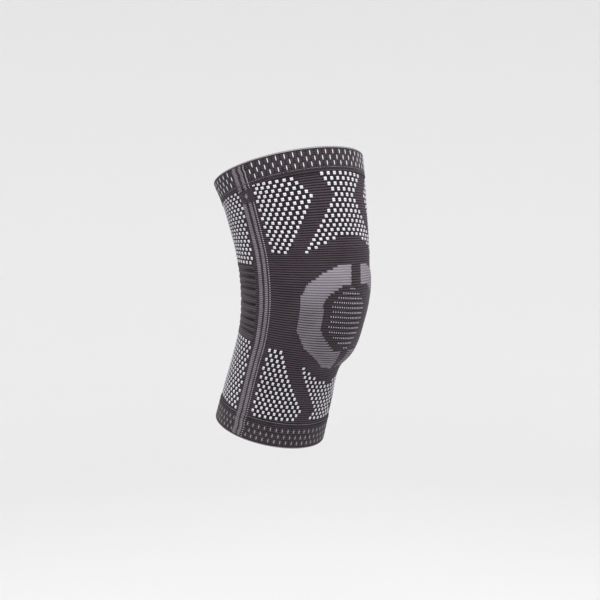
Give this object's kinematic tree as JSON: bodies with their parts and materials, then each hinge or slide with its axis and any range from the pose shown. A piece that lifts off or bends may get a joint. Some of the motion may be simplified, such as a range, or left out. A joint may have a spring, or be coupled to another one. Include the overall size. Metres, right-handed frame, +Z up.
{
  "type": "knee sleeve",
  "caption": "Open knitted compression sleeve for the knee: ribbed tube with cuffs, a padded ring round the kneecap, side bands and a gathered panel behind the knee.",
  "frame": {"origin": "centre of the leg hollow at the knee, on the sleeve's middle line, where the leg carries it", "axes": "+Z up the thigh, -Y out of the kneecap, -X towards the lateral (outer) side with the size patch"},
  "size_m": [0.1558, 0.1897, 0.3026],
  "materials": {
    "dark_knit": "charcoal rib knit with raised white yarn stitches",
    "cuff_knit": "charcoal rib knit with white dash stitches",
    "edge_yarn": "light grey looped edge yarn",
    "ring_knit": "mid grey rib knit over a soft pad",
    "panel_knit": "fine dark grey knit with small white stitches",
    "fold_knit": "soft charcoal knit in crosswise gathers",
    "patch_knit": "near-black smooth knit",
    "band_yarn": "grey knitted band",
    "piping_yarn": "pale stitched line"
  },
  "bodies": {
    "root": {"sleeve_tube": "dark_knit", "upper_cuff": "cuff_knit", "lower_cuff": "cuff_knit", "upper_seam_welt": "cuff_knit", "lower_seam_welt": "cuff_knit", "upper_edge_welt": "edge_yarn", "lower_edge_welt": "edge_yarn", "kneecap_panel": "panel_knit", "back_of_knee_panel": "fold_knit", "size_patch": "patch_knit", "kneecap_ring_lateral": "ring_knit", "kneecap_ring_medial": "ring_knit", "rear_band_lateral": "band_yarn", "rear_band_medial": "band_yarn", "front_band_lateral": "band_yarn", "front_band_medial": "band_yarn", "piping_lateral": "piping_yarn", "piping_medial": "piping_yarn"}
  },
  "joints": []
}
